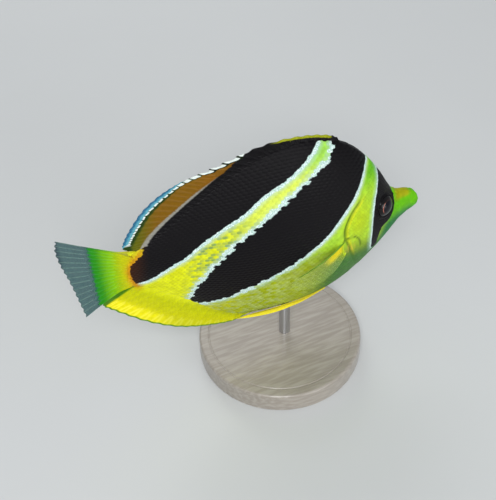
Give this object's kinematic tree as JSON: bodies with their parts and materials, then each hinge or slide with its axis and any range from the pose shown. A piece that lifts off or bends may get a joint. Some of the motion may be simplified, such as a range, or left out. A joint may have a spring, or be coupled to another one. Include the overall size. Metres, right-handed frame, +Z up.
{
  "type": "indian butterflyfish model",
  "caption": "Life-size still model of an Indian butterflyfish with dark slanting bands, held above a round base by a short rod.",
  "frame": {"origin": "centre of the underside of the round base, on the surface that it stands on", "axes": "+Z up; the fish heads along +X with its nose a little down, and its right flank faces -Y"},
  "size_m": [0.1277, 0.06, 0.0992],
  "materials": {
    "skin": "satin skin in small scales, yellow with near-black slanting bands",
    "eye": "glossy wet eye",
    "dark_fin": "satin fin membrane over spines",
    "orange_fin": "satin fin membrane, orange with a clear margin",
    "yellow_fin": "satin fin membrane, yellow with a clear margin",
    "clear_fin": "thin see-through fin membrane",
    "stand_base": "pale wood under clear satin lacquer",
    "stand_rod": "brushed"
  },
  "bodies": {
    "root": {"head": "skin", "trunk": "skin", "tail_stock": "skin", "eye_right": "eye", "eye_left": "eye", "dorsal_fin_spines": "dark_fin", "dorsal_fin_soft": "orange_fin", "anal_fin": "yellow_fin", "caudal_fin": "yellow_fin", "pectoral_fin_right": "clear_fin", "pectoral_fin_left": "clear_fin", "pelvic_fin_right": "yellow_fin", "pelvic_fin_left": "yellow_fin", "stand_base": "stand_base", "stand_rod": "stand_rod"}
  },
  "joints": []
}
